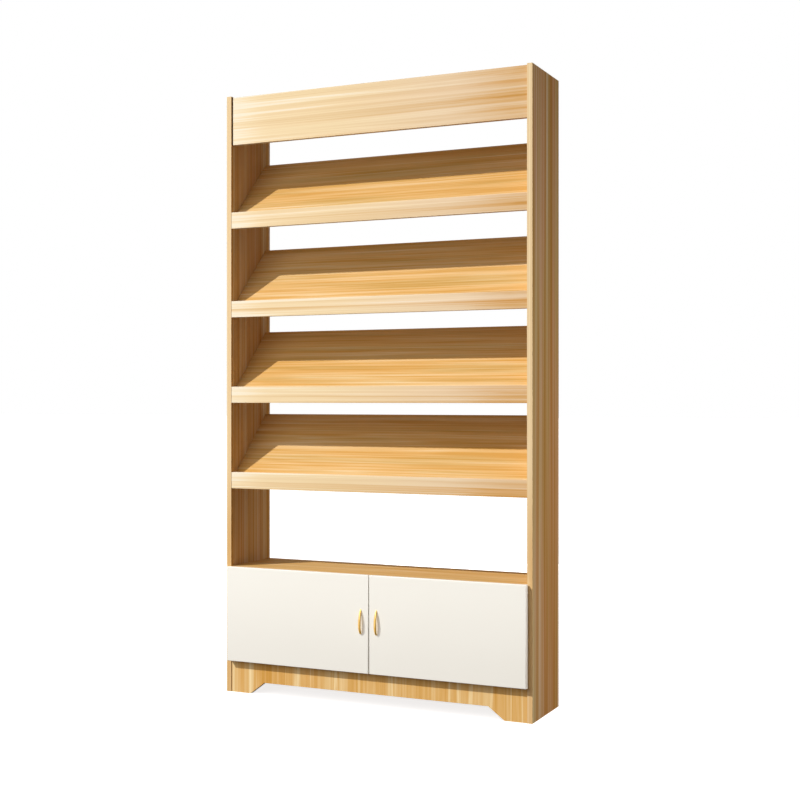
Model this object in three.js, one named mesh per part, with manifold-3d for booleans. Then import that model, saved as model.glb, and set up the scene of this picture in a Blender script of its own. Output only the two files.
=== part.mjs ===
// Periodical display rack: two side panels carry a header, four sloped display tiers,
// an open shelf and a low cupboard with a pair of doors on concealed cup hinges.
// Millimetres, +X to the viewer's right, +Y towards the back, +Z up, standing on z = 0.

import * as THREE from 'three';
import { mergeVertices } from 'three/addons/utils/BufferGeometryUtils.js';
import Module from 'manifold-3d';

const wasm = await Module();
wasm.setup();

// Carcass
const WIDTH = 1000; // over the outer faces of the side panels
const DEPTH = 235; // side panels, front edge to back edge
const BOARD = 16; // laminated board, used for every panel but the cupboard's back

// Display tiers, the highest one first
const TIER_PITCHES = [275, 265, 265]; // from each tier's rail down to the next tier's rail
const LOWEST_RAIL_TOP = 680;
const RAIL_HEIGHT = 50;
const RAIL_SETBACK = 1;
const RAIL_LIP = 12; // height of the rail above the foot of its sloped board
const SLOPE_ANGLE = THREE.MathUtils.degToRad(45);
const SLOPE_BACK_MARGIN = 16; // from the top of a sloped board to the back edge of the sides

// Header
const HEADER_HEIGHT = 147;
const HEADER_SETBACK = 4.5;
const HEADER_ABOVE_RAIL = 209.5; // underside of the header above the highest rail
const HEADER_DROP = 3.5; // top of the header and top panel below the tops of the sides

// Cupboard and plinth
const SHELF_TOP = 389;
const PLINTH_HEIGHT = 98;
const PLINTH_SETBACK = 2.5;
const PLINTH_FOOT = 68.5; // width of the plinth's own foot at the floor
const PLINTH_SLANT = 48.5;
const PLINTH_CUT_HEIGHT = 36;
const REAR_PLINTH_INSET = 10;
const BACK_BOARD = 5;
const BACK_INSET = 10; // from the back edge of the sides to the thin back panel
const GROOVE_DEPTH = 6;
const GROOVE_CLEARANCE = 0.3;

// Doors
const DOOR_BOARD = 16;
const DOOR_EDGE_RADIUS = 2;
const DOOR_GAP = 3; // between the carcass and the back of a closed door
const DOOR_REVEAL = 12.5; // side panel left showing beside a door
const DOOR_SEAM = 3; // between the two doors
const DOOR_BOTTOM_GAP = 1; // door above the top of the plinth
const BUMPER_RADIUS = 4;
const BUMPER_FROM_SEAM = 30;

// Bow handles
const HANDLE_SPAN = 70; // between the two feet, along the middle of the bow
const HANDLE_RISE = 9.5; // middle of the bow above the door, at its furthest
const HANDLE_LOWER_LEAN = 4; // how far along the door each end of the bow leans as it rises
const HANDLE_UPPER_LEAN = 20;
const HANDLE_WIDTH = 8;
const HANDLE_THICKNESS = 5;
const HANDLE_TIP_WIDTH = 3.5;
const HANDLE_TIP_THICKNESS = 3.5;
const HANDLE_FROM_SEAM = 25.5;
const HANDLE_ABOVE_MIDDLE = 7;

// Concealed hinges
const HINGE_FROM_DOOR_END = 60;
const PIVOT_DEPTH = 8; // hinge axis below the back face of the door
const CORNER_CLEARANCE = 0.5; // door edge to side panel, as the door turns
const CUP_DIAMETER = 35;
const CUP_DEPTH = 11.5;
const CUP_WALL = 1;
const CUP_FLOOR = 0.8;
const CUP_BORE_CLEARANCE = 0.3;
const FLANGE = 1;
const FLANGE_OVERHANG = 1;
const FLANGE_EAR_RADIUS = 6.5;
const CUP_SCREW_SPACING = 48;
const CUP_SCREW_OFFSET = 6; // screw line beyond the middle of the cup
const PIN_RADIUS = 1.2;
const PIN_CLEARANCE = 0.07;
const PIN_HALF_LENGTH = 8.6;
const EYE_RADIUS = 2.2;
const EYE_GAP = 0.3; // round the eye, inside the cup
const NECK_WIDTH = 10;
const NECK_THICKNESS = 2.5;
const NECK_REACH = 13; // hinge axis to the middle of the neck's upright part
const NECK_BEND = 4;
const SIDE_GAP = 0.3; // between pieces that sit beside each other
const ARM_WIDTH = 20;
const ARM_SHEET = 1.6;
const ARM_LENGTH = 54;
const ARM_START = 5; // behind the front edge of the side panel
const PLATE_SHEET = 2;
const PLATE_SETBACK = 37; // front edge of the side panel to the plate's screw line
const PLATE_SCREW_SPACING = 32;
const PLATE_WING_RADIUS = 8;
const ARM_SLOT_RADIUS = 4; // round the arm's own fixing screw

// Hinge screws, the same for cups and plates
const SCREW_HOLE = 4;
const SCREW_CLEARANCE = 0.3; // round the shank and past its point
const SCREW_LENGTH = 13; // under the head
const SCREW_POINT = 3;
const SCREW_HEAD_RADIUS = 3.5;
const SCREW_HEAD_HEIGHT = 2;
const SCREW_HEAD_CROWN = 2; // radius of the rounded rim of the head

// Facets
const ROUND = 40;
const ROUND_SMALL = 16;
const ROUND_SCREW = 12;
const CROWN_STEPS = 1;
const BOW_STEPS = 20;

// Places that follow from the sizes
const INNER = WIDTH / 2 - BOARD; // inner face of a side panel
const RAIL_BACK = RAIL_SETBACK + BOARD;
const SHELF_BOTTOM = SHELF_TOP - BOARD;
const FLOOR_TOP = PLINTH_HEIGHT + BOARD;
const BACK_REAR = DEPTH - BACK_INSET;
const BACK_FRONT = BACK_REAR - BACK_BOARD;

const RAIL_TOPS = [LOWEST_RAIL_TOP];
for (const pitch of [...TIER_PITCHES].reverse()) {
  RAIL_TOPS.unshift(RAIL_TOPS[0] + pitch);
}
const HEADER_BOTTOM = RAIL_TOPS[0] + HEADER_ABOVE_RAIL;
const HEADER_TOP = HEADER_BOTTOM + HEADER_HEIGHT;
const HEIGHT = HEADER_TOP + HEADER_DROP;

const DOOR_WIDTH = WIDTH / 2 - DOOR_REVEAL - DOOR_SEAM / 2;
const DOOR_BOTTOM = PLINTH_HEIGHT + DOOR_BOTTOM_GAP;
const DOOR_HEIGHT = SHELF_TOP - DOOR_BOTTOM;
const DOOR_MIDDLE = DOOR_BOTTOM + DOOR_HEIGHT / 2;

// The hinge axis lies far enough from the door's edge for its corner to turn past the side panel.
const PIVOT_FROM_PANEL = DOOR_GAP + PIVOT_DEPTH;
const PIVOT_FROM_EDGE = Math.sqrt((PIVOT_FROM_PANEL - CORNER_CLEARANCE) ** 2 - PIVOT_DEPTH ** 2);
const PIVOT_X = WIDTH / 2 - DOOR_REVEAL - PIVOT_FROM_EDGE;
const CUP_RADIUS = CUP_DIAMETER / 2;
// The cup sits so that its wall just clears the full width of the arm's eye.
const CUP_CENTRE = Math.sqrt((CUP_RADIUS - CUP_WALL) ** 2 - (NECK_WIDTH / 2) ** 2) - EYE_RADIUS - EYE_GAP;
const HANDLE_PROJECTION = HANDLE_RISE + HANDLE_THICKNESS / 2;

const LAMINATE = new THREE.MeshStandardMaterial({ color: 0xdcb583, roughness: 0.5, metalness: 0 });
const WHITE_LAMINATE = new THREE.MeshStandardMaterial({ color: 0xf4efe5, roughness: 0.35, metalness: 0 });
const BACK_SHEET = new THREE.MeshStandardMaterial({ color: 0xd8b88c, roughness: 0.7, metalness: 0 });
const BRASS = new THREE.MeshStandardMaterial({ color: 0xd9a441, roughness: 0.22, metalness: 1 });
const NICKEL = new THREE.MeshStandardMaterial({ color: 0xbfc2c4, roughness: 0.3, metalness: 1 });
const SILICONE = new THREE.MeshStandardMaterial({ color: 0xdfe2e2, roughness: 0.4, metalness: 0 });

/** A closed three.js geometry as a solid that can be joined and cut. */
function toSolid(geometry) {
  const bare = geometry.clone();
  bare.deleteAttribute('normal');
  bare.deleteAttribute('uv');
  const merged = mergeVertices(bare);
  const corners = merged.index.array;
  const triangles = [];
  for (let i = 0; i < corners.length; i += 3) {
    const [a, b, c] = corners.slice(i, i + 3);
    if (a !== b && b !== c && c !== a) triangles.push(a, b, c);
  }
  return new wasm.Manifold(new wasm.Mesh({
    numProp: 3,
    vertProperties: Float32Array.from(merged.attributes.position.array),
    triVerts: Uint32Array.from(triangles),
  }));
}

/** A solid back as a three.js geometry. */
function toGeometry(solid) {
  const mesh = solid.getMesh();
  const geometry = new THREE.BufferGeometry();
  geometry.setAttribute('position', new THREE.BufferAttribute(mesh.vertProperties, 3));
  geometry.setIndex(new THREE.BufferAttribute(mesh.triVerts, 1));
  geometry.computeVertexNormals();
  return geometry;
}

/** The first geometry with the others cut away. */
function cut(body, ...tools) {
  return toGeometry(tools.reduce((solid, tool) => solid.subtract(toSolid(tool)), toSolid(body)));
}

/** Several geometries as one. */
function join(body, ...others) {
  return toGeometry(others.reduce((solid, other) => solid.add(toSolid(other)), toSolid(body)));
}

/** A block between two limits on each axis. */
function block([x0, x1], [y0, y1], [z0, z1]) {
  const geometry = new THREE.BoxGeometry(x1 - x0, y1 - y0, z1 - z0);
  return geometry.translate((x0 + x1) / 2, (y0 + y1) / 2, (z0 + z1) / 2);
}

/** A round bar along X, Y or Z between two limits. */
function bar(axis, radius, [low, high], sides = ROUND) {
  const geometry = new THREE.CylinderGeometry(radius, radius, high - low, sides);
  geometry.translate(0, (low + high) / 2, 0);
  if (axis === 'x') geometry.rotateZ(-Math.PI / 2);
  if (axis === 'z') geometry.rotateX(Math.PI / 2);
  return geometry;
}

/** An outline drawn in Y and Z, drawn out along X between two limits. */
function extrudeX(shape, [low, high]) {
  const geometry = new THREE.ExtrudeGeometry(shape, { depth: high - low, bevelEnabled: false });
  const turn = new THREE.Matrix4().makeBasis(
    new THREE.Vector3(0, 1, 0), new THREE.Vector3(0, 0, 1), new THREE.Vector3(1, 0, 0));
  return geometry.applyMatrix4(turn).translate(low, 0, 0);
}

/** An outline drawn in X and Z, drawn out along Y between two limits, with rounded rims if asked. */
function extrudeY(shape, [low, high], rim = 0) {
  const geometry = new THREE.ExtrudeGeometry(shape, {
    depth: high - low - 2 * rim,
    bevelEnabled: rim > 0,
    bevelThickness: rim,
    bevelSize: rim,
    bevelOffset: -rim,
    bevelSegments: 3,
  });
  return geometry.rotateX(Math.PI / 2).translate(0, high - rim, 0);
}

/** An outline drawn in X and Y, drawn out along Z between two limits. */
function extrudeZ(shape, [low, high]) {
  const geometry = new THREE.ExtrudeGeometry(shape, { depth: high - low, bevelEnabled: false });
  return geometry.translate(0, 0, low);
}

/** A closed outline through the given corners. */
function outline(...corners) {
  return new THREE.Shape(corners.map(([a, b]) => new THREE.Vector2(a, b)));
}

/** A slot outline with round ends, standing along the second axis. */
function stadium(centre, halfLength, radius) {
  const shape = new THREE.Shape();
  shape.absarc(centre, halfLength, radius, 0, Math.PI, false);
  shape.absarc(centre, -halfLength, radius, Math.PI, 2 * Math.PI, false);
  shape.closePath();
  return shape;
}

/** Adds a named piece to a group. */
function piece(group, name, geometry, material) {
  const mesh = new THREE.Mesh(geometry, material);
  mesh.name = name;
  group.add(mesh);
  return mesh;
}

/** Heights of the two hinges of a door. */
const HINGE_HEIGHTS = {
  upper: SHELF_TOP - HINGE_FROM_DOOR_END,
  lower: DOOR_BOTTOM + HINGE_FROM_DOOR_END,
};

/** Heights of all the screws in a row of hinges, from how far apart each hinge's two screws are. */
function screwHeights(spacing) {
  return Object.values(HINGE_HEIGHTS).flatMap((height) => [height - spacing / 2, height + spacing / 2]);
}

/** Depth of the hole that takes a screw which first passes through a sheet. */
function pilotDepth(sheet) {
  return SCREW_LENGTH - sheet + SCREW_CLEARANCE;
}

/** Side panel, with the stopped groove that holds the cupboard's back and the hinge plates' screw holes. */
function sidePanel(side) {
  const inward = (from, to) => [side * from, side * to].sort((a, b) => a - b);
  const groove = block(
    inward(INNER - 1, INNER + GROOVE_DEPTH),
    [BACK_FRONT - GROOVE_CLEARANCE, BACK_REAR + GROOVE_CLEARANCE],
    [FLOOR_TOP - GROOVE_DEPTH, SHELF_BOTTOM + GROOVE_DEPTH]);
  const pilots = screwHeights(PLATE_SCREW_SPACING).map((height) =>
    bar('x', SCREW_HOLE / 2, inward(INNER - 1, INNER + pilotDepth(PLATE_SHEET)), ROUND_SMALL)
      .translate(0, PLATE_SETBACK, height));
  return cut(block(inward(INNER, WIDTH / 2), [0, DEPTH], [0, HEIGHT]), groove, ...pilots);
}

/** Long board of the cupboard, grooved along one face for the cupboard's back. */
function groovedBoard([bottom, top], grooveHeights) {
  return cut(
    block([-INNER, INNER], [0, DEPTH], [bottom, top]),
    block(
      [-INNER - 1, INNER + 1],
      [BACK_FRONT - GROOVE_CLEARANCE, BACK_REAR + GROOVE_CLEARANCE],
      grooveHeights));
}

/** Sloped board of a tier: its foot is cut upright to butt against the rail. */
function slopeBoard(railTop) {
  const lean = new THREE.Vector2(Math.sin(SLOPE_ANGLE), -Math.cos(SLOPE_ANGLE)).multiplyScalar(BOARD);
  const foot = railTop - RAIL_LIP;
  const topY = DEPTH - SLOPE_BACK_MARGIN - lean.x;
  const topZ = foot + (topY - RAIL_BACK) * Math.tan(SLOPE_ANGLE);
  const profile = outline(
    [RAIL_BACK, foot],
    [RAIL_BACK, foot - BOARD / Math.cos(SLOPE_ANGLE)],
    [topY + lean.x, topZ + lean.y],
    [topY, topZ]);
  return extrudeX(profile, [-INNER, INNER]);
}

/** Front plinth: a long cut-out with slanted ends leaves a foot at each side. */
function frontPlinth() {
  const foot = INNER - PLINTH_FOOT;
  const shoulder = foot - PLINTH_SLANT;
  const profile = outline(
    [-INNER, 0], [-foot, 0], [-shoulder, PLINTH_CUT_HEIGHT],
    [shoulder, PLINTH_CUT_HEIGHT], [foot, 0], [INNER, 0],
    [INNER, PLINTH_HEIGHT], [-INNER, PLINTH_HEIGHT]);
  return extrudeY(profile, [PLINTH_SETBACK, PLINTH_SETBACK + BOARD]);
}

/** Door with soft edges, bored behind for its hinge cups and their screws. Drawn about the hinge axis. */
function door(side) {
  const edge = -side * PIVOT_FROM_EDGE;
  const far = edge + side * DOOR_WIDTH;
  const face = outline(
    [Math.min(edge, far), DOOR_BOTTOM], [Math.max(edge, far), DOOR_BOTTOM],
    [Math.max(edge, far), SHELF_TOP], [Math.min(edge, far), SHELF_TOP]);
  const slab = extrudeY(face, [PIVOT_DEPTH - DOOR_BOARD, PIVOT_DEPTH], DOOR_EDGE_RADIUS);
  const bores = Object.values(HINGE_HEIGHTS).map((height) => {
    const bore = bar('y', CUP_RADIUS + CUP_BORE_CLEARANCE,
      [PIVOT_DEPTH - CUP_DEPTH - CUP_BORE_CLEARANCE, PIVOT_DEPTH + 1]);
    return bore.translate(side * CUP_CENTRE, 0, height);
  });
  const pilots = screwHeights(CUP_SCREW_SPACING).map((height) =>
    bar('y', SCREW_HOLE / 2, [PIVOT_DEPTH - pilotDepth(FLANGE), PIVOT_DEPTH + 1], ROUND_SMALL)
      .translate(side * (CUP_CENTRE + CUP_SCREW_OFFSET), 0, height));
  return cut(slab, ...bores, ...pilots);
}

/** Hinge cup: a drawn shell with a screw flange, and two ears that hold the pin. */
function hingeCup() {
  const bottom = PIVOT_DEPTH - CUP_DEPTH;
  const rim = PIVOT_DEPTH + FLANGE;
  const earFace = NECK_WIDTH / 2 + SIDE_GAP;
  const shell = bar('y', CUP_RADIUS, [bottom, rim]).translate(CUP_CENTRE, 0, 0);
  const collar = bar('y', CUP_RADIUS + FLANGE_OVERHANG, [PIVOT_DEPTH, rim]).translate(CUP_CENTRE, 0, 0);
  const screwLine = CUP_CENTRE + CUP_SCREW_OFFSET;
  const ears = extrudeY(stadium(screwLine, CUP_SCREW_SPACING / 2, FLANGE_EAR_RADIUS), [PIVOT_DEPTH, rim]);
  const hollow = bar('y', CUP_RADIUS - CUP_WALL, [bottom + CUP_FLOOR, rim + 1]).translate(CUP_CENTRE, 0, 0);
  const pinSeat = [-1, 1].map((end) => block(
    [-CUP_RADIUS, EYE_RADIUS + CUP_WALL],
    [bottom, EYE_RADIUS + CUP_WALL],
    end < 0 ? [-CUP_RADIUS, -earFace] : [earFace, CUP_RADIUS]));
  const screwHoles = [-1, 1].map((end) =>
    bar('y', SCREW_HOLE / 2, [PIVOT_DEPTH - 1, rim + 1], ROUND_SMALL)
      .translate(screwLine, 0, end * CUP_SCREW_SPACING / 2));
  const seat = PIN_HALF_LENGTH + PIN_CLEARANCE;
  const pinHole = bar('z', PIN_RADIUS + PIN_CLEARANCE, [-seat, seat], ROUND_SMALL);
  return cut(join(shell, collar, ears), cut(hollow, ...pinSeat), pinHole, ...screwHoles);
}

/** Hinge arm: a channel over the mounting plate, and a bent neck that reaches into the cup. */
function hingeArm() {
  const half = NECK_THICKNESS / 2;
  const start = PIVOT_FROM_PANEL + ARM_START;
  const end = start + ARM_LENGTH;
  const taper = (ARM_WIDTH - NECK_WIDTH) / 2;

  const neck = new THREE.Shape();
  neck.moveTo(0, -half);
  neck.absarc(NECK_REACH - NECK_BEND, NECK_BEND, NECK_BEND + half, -Math.PI / 2, 0, false);
  neck.lineTo(NECK_REACH + half, start + taper);
  neck.lineTo(NECK_REACH - half, start + taper);
  neck.absarc(NECK_REACH - NECK_BEND, NECK_BEND, NECK_BEND - half, 0, -Math.PI / 2, true);
  neck.lineTo(0, half);
  neck.closePath();

  const web = outline(
    [start, -NECK_WIDTH / 2], [start + taper, -ARM_WIDTH / 2], [end, -ARM_WIDTH / 2],
    [end, ARM_WIDTH / 2], [start + taper, ARM_WIDTH / 2], [start, NECK_WIDTH / 2]);
  const slotCentre = end - ARM_LENGTH / 5;
  const slot = new THREE.Path();
  slot.absarc(slotCentre, 0, ARM_SLOT_RADIUS, 0, 2 * Math.PI, true);
  web.holes.push(slot);

  const foot = plateFace() + PLATE_SHEET + SIDE_GAP;
  const cheek = outline(
    [NECK_REACH - half, start + taper], [NECK_REACH + half, start + taper],
    [NECK_REACH + half, end], [foot, end],
    [foot, start + 2 * taper]);
  const cheeks = [-1, 1].map((sign) => {
    const inside = ARM_WIDTH / 2 - ARM_SHEET;
    return extrudeZ(cheek, sign < 0 ? [-ARM_WIDTH / 2, -inside] : [inside, ARM_WIDTH / 2]);
  });
  const body = join(
    extrudeZ(neck, [-NECK_WIDTH / 2, NECK_WIDTH / 2]),
    bar('z', EYE_RADIUS, [-NECK_WIDTH / 2, NECK_WIDTH / 2], ROUND_SMALL),
    extrudeX(web, [NECK_REACH - half, NECK_REACH + half]),
    ...cheeks);
  return cut(body, bar('z', PIN_RADIUS + PIN_CLEARANCE, [-NECK_WIDTH, NECK_WIDTH], ROUND_SMALL));
}

/** Inner face of the side panel, measured from the hinge axis. */
function plateFace() {
  return BOARD - DOOR_REVEAL - PIVOT_FROM_EDGE;
}

/** Mounting plate: two screwed wings, and the raised block that the arm clips over. */
function hingePlate() {
  const face = plateFace();
  const screwLine = PIVOT_FROM_PANEL + PLATE_SETBACK;
  const wings = stadium(screwLine, PLATE_SCREW_SPACING / 2, PLATE_WING_RADIUS);
  for (const end of [-1, 1]) {
    const hole = new THREE.Path();
    hole.absarc(screwLine, end * PLATE_SCREW_SPACING / 2, SCREW_HOLE / 2, 0, 2 * Math.PI, true);
    wings.holes.push(hole);
  }
  const halfWidth = ARM_WIDTH / 2 - ARM_SHEET - SIDE_GAP;
  const armEnd = PIVOT_FROM_PANEL + ARM_START + ARM_LENGTH;
  const front = PIVOT_FROM_PANEL + ARM_START + (ARM_WIDTH - NECK_WIDTH);
  const top = NECK_REACH - NECK_THICKNESS / 2 - SIDE_GAP;
  return join(
    extrudeX(wings, [face, face + PLATE_SHEET]),
    block([face, top], [front, armEnd], [-halfWidth, halfWidth]));
}

/** Pan-head screw along Y: its head stands on y = 0 and its shank points down. */
function screw() {
  const shank = SCREW_HOLE / 2 - SCREW_CLEARANCE;
  const profile = new THREE.Path();
  profile.moveTo(0, -SCREW_LENGTH);
  profile.lineTo(shank, SCREW_POINT - SCREW_LENGTH);
  profile.lineTo(shank, 0);
  profile.lineTo(SCREW_HEAD_RADIUS, 0);
  profile.absarc(
    SCREW_HEAD_RADIUS - SCREW_HEAD_CROWN, SCREW_HEAD_HEIGHT - SCREW_HEAD_CROWN, SCREW_HEAD_CROWN,
    0, Math.PI / 2, false);
  profile.lineTo(0, SCREW_HEAD_HEIGHT);
  return new THREE.LatheGeometry(profile.getPoints(CROWN_STEPS), ROUND_SCREW);
}

/** Crescent bow: an oval section follows a curve that stands out furthest below its middle. */
function bowHandle() {
  const half = HANDLE_SPAN / 2;
  const reach = HANDLE_RISE * 4 / 3; // such a curve rises to three quarters of its guide points
  const path = new THREE.CubicBezierCurve(
    new THREE.Vector2(0, -half), new THREE.Vector2(reach, HANDLE_LOWER_LEAN - half),
    new THREE.Vector2(reach, half - HANDLE_UPPER_LEAN), new THREE.Vector2(0, half));

  // Each end runs on past the door's face, to be cut flat there.
  const stations = [{ along: 0, past: -HANDLE_THICKNESS }];
  for (let step = 0; step <= BOW_STEPS; step += 1) {
    stations.push({ along: step / BOW_STEPS, past: 0 });
  }
  stations.push({ along: 1, past: HANDLE_THICKNESS });

  const points = [];
  for (const { along, past } of stations) {
    const tangent = path.getTangent(along);
    const middle = path.getPoint(along).addScaledVector(tangent, past);
    const swell = Math.sqrt(Math.max(0, Math.sin(Math.PI * along)));
    const width = THREE.MathUtils.lerp(HANDLE_TIP_WIDTH, HANDLE_WIDTH, swell) / 2;
    const thickness = THREE.MathUtils.lerp(HANDLE_TIP_THICKNESS, HANDLE_THICKNESS, swell) / 2;
    for (let side = 0; side < ROUND_SMALL; side += 1) {
      const around = (side / ROUND_SMALL) * 2 * Math.PI;
      const out = thickness * Math.sin(around);
      points.push(
        width * Math.cos(around),
        -middle.x - out * tangent.y,
        middle.y - out * tangent.x);
    }
  }
  const faces = [];
  for (let step = 0; step < stations.length - 1; step += 1) {
    for (let side = 0; side < ROUND_SMALL; side += 1) {
      const a = step * ROUND_SMALL + side;
      const b = step * ROUND_SMALL + (side + 1) % ROUND_SMALL;
      faces.push(a, b + ROUND_SMALL, b, a, a + ROUND_SMALL, b + ROUND_SMALL);
    }
  }
  const last = (stations.length - 1) * ROUND_SMALL;
  for (let side = 1; side < ROUND_SMALL - 1; side += 1) {
    faces.push(0, side, side + 1);
    faces.push(last, last + side + 1, last + side);
  }
  const bow = new THREE.BufferGeometry();
  bow.setAttribute('position', new THREE.Float32BufferAttribute(points, 3));
  bow.setIndex(faces);
  const behind = block([-HANDLE_SPAN, HANDLE_SPAN], [0, HANDLE_SPAN], [-HANDLE_SPAN, HANDLE_SPAN]);
  return cut(bow, behind);
}

// Carcass
const carcass = new THREE.Group();
piece(carcass, 'left_side_panel', sidePanel(-1), LAMINATE);
piece(carcass, 'right_side_panel', sidePanel(1), LAMINATE);
piece(carcass, 'header_panel',
  block([-INNER, INNER], [HEADER_SETBACK, HEADER_SETBACK + BOARD], [HEADER_BOTTOM, HEADER_TOP]), LAMINATE);
piece(carcass, 'top_panel',
  block([-INNER, INNER], [HEADER_SETBACK + BOARD, DEPTH], [HEADER_TOP - BOARD, HEADER_TOP]), LAMINATE);
RAIL_TOPS.forEach((railTop, index) => {
  const rail = block([-INNER, INNER], [RAIL_SETBACK, RAIL_BACK], [railTop - RAIL_HEIGHT, railTop]);
  piece(carcass, `tier_${index + 1}_front_rail`, rail, LAMINATE);
  piece(carcass, `tier_${index + 1}_slope_board`, slopeBoard(railTop), LAMINATE);
});
piece(carcass, 'open_shelf',
  groovedBoard([SHELF_BOTTOM, SHELF_TOP], [SHELF_BOTTOM - 1, SHELF_BOTTOM + GROOVE_DEPTH]), LAMINATE);
piece(carcass, 'cupboard_floor',
  groovedBoard([PLINTH_HEIGHT, FLOOR_TOP], [FLOOR_TOP - GROOVE_DEPTH, FLOOR_TOP + 1]), LAMINATE);
piece(carcass, 'cupboard_divider',
  block([-BOARD / 2, BOARD / 2], [0, BACK_FRONT - GROOVE_CLEARANCE], [FLOOR_TOP, SHELF_BOTTOM]), LAMINATE);
const tongue = GROOVE_DEPTH - GROOVE_CLEARANCE;
piece(carcass, 'cupboard_back',
  block(
    [-INNER - tongue, INNER + tongue], [BACK_FRONT, BACK_REAR],
    [FLOOR_TOP - tongue, SHELF_BOTTOM + tongue]),
  BACK_SHEET);
piece(carcass, 'front_plinth', frontPlinth(), LAMINATE);
piece(carcass, 'rear_plinth',
  block(
    [-INNER, INNER], [DEPTH - REAR_PLINTH_INSET - BOARD, DEPTH - REAR_PLINTH_INSET], [0, PLINTH_HEIGHT]),
  LAMINATE);

// Doors and hinges. Each hinge is even about its own middle, so the right one is the left one turned over.
const hingeParts = { cup: hingeCup(), arm: hingeArm(), plate: hingePlate() };
const pin = bar('z', PIN_RADIUS, [-PIN_HALF_LENGTH, PIN_HALF_LENGTH], ROUND_SMALL);
const cupScrew = screw();
const plateScrew = screw().rotateZ(-Math.PI / 2);
const bow = bowHandle();
const bumper = bar('y', BUMPER_RADIUS, [PIVOT_DEPTH, PIVOT_FROM_PANEL], ROUND_SMALL);

const doorGroups = ['left', 'right'].map((name) => {
  const side = name === 'left' ? 1 : -1; // from the hinged edge towards the seam
  const group = new THREE.Group();
  group.position.set(-side * PIVOT_X, -PIVOT_FROM_PANEL, 0);
  piece(group, `${name}_door`, door(side), WHITE_LAMINATE);

  const seam = -PIVOT_FROM_EDGE + DOOR_WIDTH + DOOR_SEAM / 2;
  piece(group, `${name}_handle`, bow, BRASS).position.set(
    side * (seam - HANDLE_FROM_SEAM), PIVOT_DEPTH - DOOR_BOARD, DOOR_MIDDLE + HANDLE_ABOVE_MIDDLE);

  const bumperHeights = { upper: SHELF_TOP - BOARD / 2, lower: FLOOR_TOP - BOARD / 2 };
  for (const [place, height] of Object.entries(bumperHeights)) {
    piece(group, `${name}_${place}_bumper`, bumper, SILICONE).position.set(
      side * (seam - BUMPER_FROM_SEAM), 0, height);
  }
  for (const [place, height] of Object.entries(HINGE_HEIGHTS)) {
    const hinge = new THREE.Group();
    hinge.position.z = height;
    hinge.rotation.y = side > 0 ? 0 : Math.PI;
    for (const [part, geometry] of Object.entries(hingeParts)) {
      piece(hinge, `${name}_${place}_hinge_${part}`, geometry, NICKEL);
    }
    piece(hinge, `${name}_${place}_hinge_pin`, pin, NICKEL);
    for (const [end, number] of [[-1, 1], [1, 2]]) {
      piece(hinge, `${name}_${place}_cup_screw_${number}`, cupScrew, NICKEL).position.set(
        CUP_CENTRE + CUP_SCREW_OFFSET, PIVOT_DEPTH + FLANGE, end * CUP_SCREW_SPACING / 2);
      piece(hinge, `${name}_${place}_plate_screw_${number}`, plateScrew, NICKEL).position.set(
        plateFace() + PLATE_SHEET, PIVOT_FROM_PANEL + PLATE_SETBACK, end * PLATE_SCREW_SPACING / 2);
    }
    group.add(hinge);
  }
  return group;
});

// The rack stands with the middle of its whole depth, handles included, over the origin.
const FRONTMOST = -DOOR_GAP - DOOR_BOARD - HANDLE_PROJECTION;
const rack = new THREE.Group();
rack.add(carcass, ...doorGroups);
rack.position.y = -(FRONTMOST + DEPTH) / 2;

export default rack;
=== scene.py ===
import math

import bmesh
import bpy
from mathutils import Matrix, Vector
from mathutils.geometry import interpolate_bezier


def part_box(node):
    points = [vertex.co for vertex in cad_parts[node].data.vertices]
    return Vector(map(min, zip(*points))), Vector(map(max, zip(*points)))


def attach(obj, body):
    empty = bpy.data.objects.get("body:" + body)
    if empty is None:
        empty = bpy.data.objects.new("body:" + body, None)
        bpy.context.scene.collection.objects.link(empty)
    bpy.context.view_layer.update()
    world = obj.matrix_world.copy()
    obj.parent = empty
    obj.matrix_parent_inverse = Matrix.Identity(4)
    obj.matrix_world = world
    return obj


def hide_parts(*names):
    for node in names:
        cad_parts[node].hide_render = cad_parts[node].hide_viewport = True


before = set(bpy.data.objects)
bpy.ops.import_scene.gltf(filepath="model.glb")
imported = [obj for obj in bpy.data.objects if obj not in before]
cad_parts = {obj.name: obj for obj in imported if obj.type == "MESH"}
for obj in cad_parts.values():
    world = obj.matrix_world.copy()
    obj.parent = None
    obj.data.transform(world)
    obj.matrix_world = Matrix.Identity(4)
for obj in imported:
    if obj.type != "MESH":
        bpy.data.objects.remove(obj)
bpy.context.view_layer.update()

MM = 0.001

# Camera: a level view from the right, with the image 800 pixels square
CAMERA_PLACE = (1.7163, -3.60094, 0.90374)
CAMERA_YAW = math.radians(24.888)
CAMERA_LENS = 59.49
CAMERA_SENSOR = 36.0

# Suns: a hard key from the upper left, a part of which passes the bows, and one overhead for the floor
KEY_TOWARDS = (-0.94, -1.0, 1.23)
KEY_STRENGTH = 2.4
KEY_PASSING = 1.05
KEY_ANGLE = 1.5
KEY_COLOUR = (1.0, 0.985, 0.96)
OVERHEAD_TOWARDS = (0.0, 0.0, 1.0)
OVERHEAD_STRENGTH = 1.2
OVERHEAD_ANGLE = 70.0

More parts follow.
